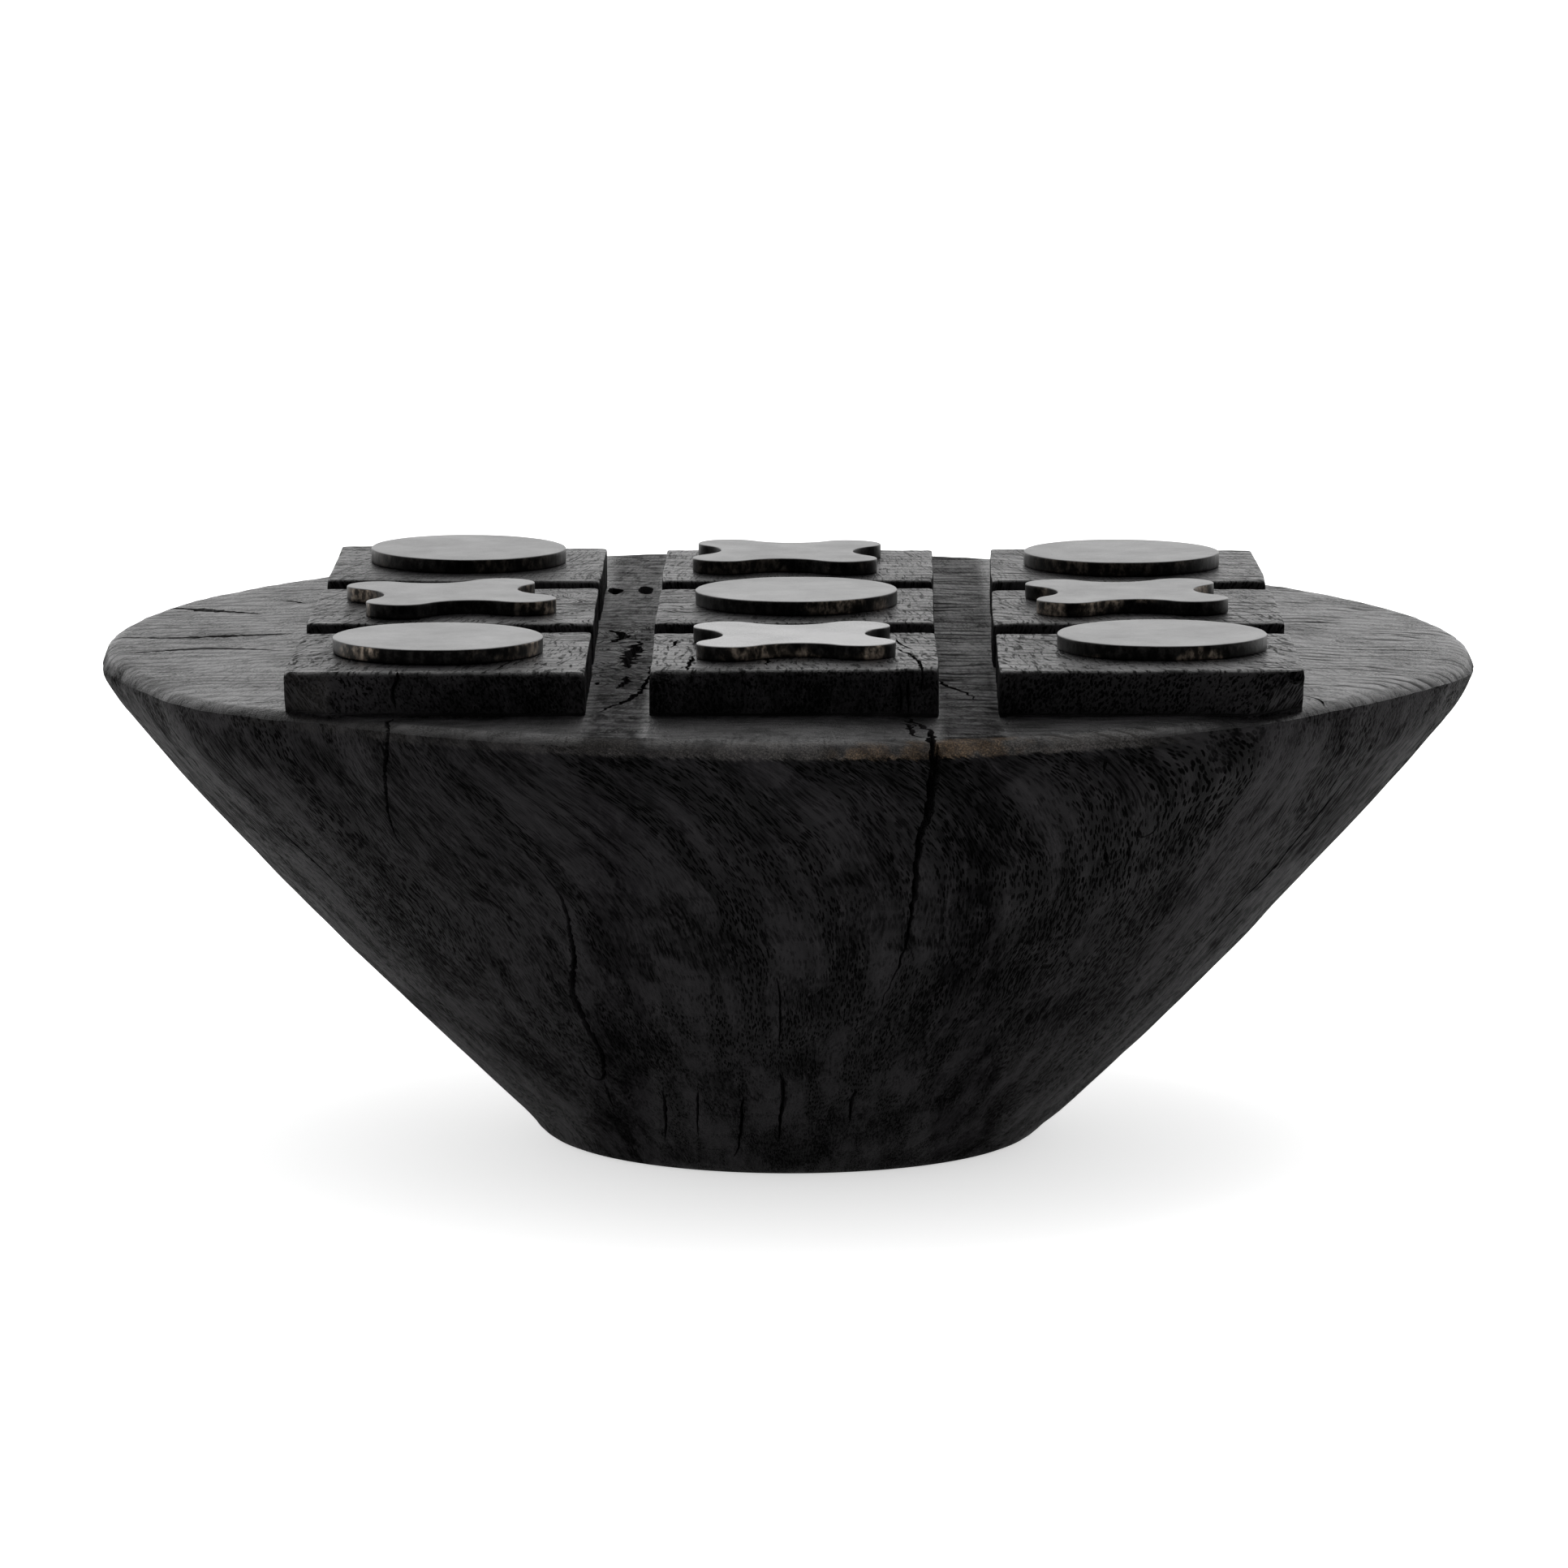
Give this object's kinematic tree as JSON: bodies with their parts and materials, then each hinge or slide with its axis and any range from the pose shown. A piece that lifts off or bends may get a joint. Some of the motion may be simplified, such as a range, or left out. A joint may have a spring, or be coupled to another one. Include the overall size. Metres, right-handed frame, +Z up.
{
  "type": "noughts and crosses board",
  "caption": "Noughts and crosses set: a charred wood block shaped as an inverted cone, with square pads on its flat top and loose steel discs and crosses that lift off.",
  "frame": {"origin": "centre of the base face, on the surface that the board stands on", "axes": "+Z up; rows of pads run along X; the -Y side faces the player, and the pads lie a little nearer to it"},
  "size_m": [0.381, 0.381, 0.1538],
  "materials": {
    "charred_wood": "charred and waxed, satin",
    "blackened_steel": "dark mill scale with a worn bronze sheen, satin"
  },
  "bodies": {
    "board": {"board": "charred_wood"},
    "nought_front_left": {"nought_front_left": "blackened_steel"},
    "cross_front": {"cross_front": "blackened_steel"},
    "nought_front_right": {"nought_front_right": "blackened_steel"},
    "cross_left": {"cross_left": "blackened_steel"},
    "nought_centre": {"nought_centre": "blackened_steel"},
    "cross_right": {"cross_right": "blackened_steel"},
    "nought_back_left": {"nought_back_left": "blackened_steel"},
    "cross_back": {"cross_back": "blackened_steel"},
    "nought_back_right": {"nought_back_right": "blackened_steel"}
  },
  "joints": [
    {"name": "nought_front_left_lift", "type": "slide", "parent": "board", "child": "nought_front_left", "axis": [0, 0, 1], "range_m": [0, 0.08]},
    {"name": "cross_front_lift", "type": "slide", "parent": "board", "child": "cross_front", "axis": [0, 0, 1], "range_m": [0, 0.08]},
    {"name": "nought_front_right_lift", "type": "slide", "parent": "board", "child": "nought_front_right", "axis": [0, 0, 1], "range_m": [0, 0.08]},
    {"name": "cross_left_lift", "type": "slide", "parent": "board", "child": "cross_left", "axis": [0, 0, 1], "range_m": [0, 0.08]},
    {"name": "nought_centre_lift", "type": "slide", "parent": "board", "child": "nought_centre", "axis": [0, 0, 1], "range_m": [0, 0.08]},
    {"name": "cross_right_lift", "type": "slide", "parent": "board", "child": "cross_right", "axis": [0, 0, 1], "range_m": [0, 0.08]},
    {"name": "nought_back_left_lift", "type": "slide", "parent": "board", "child": "nought_back_left", "axis": [0, 0, 1], "range_m": [0, 0.08]},
    {"name": "cross_back_lift", "type": "slide", "parent": "board", "child": "cross_back", "axis": [0, 0, 1], "range_m": [0, 0.08]},
    {"name": "nought_back_right_lift", "type": "slide", "parent": "board", "child": "nought_back_right", "axis": [0, 0, 1], "range_m": [0, 0.08]}
  ]
}
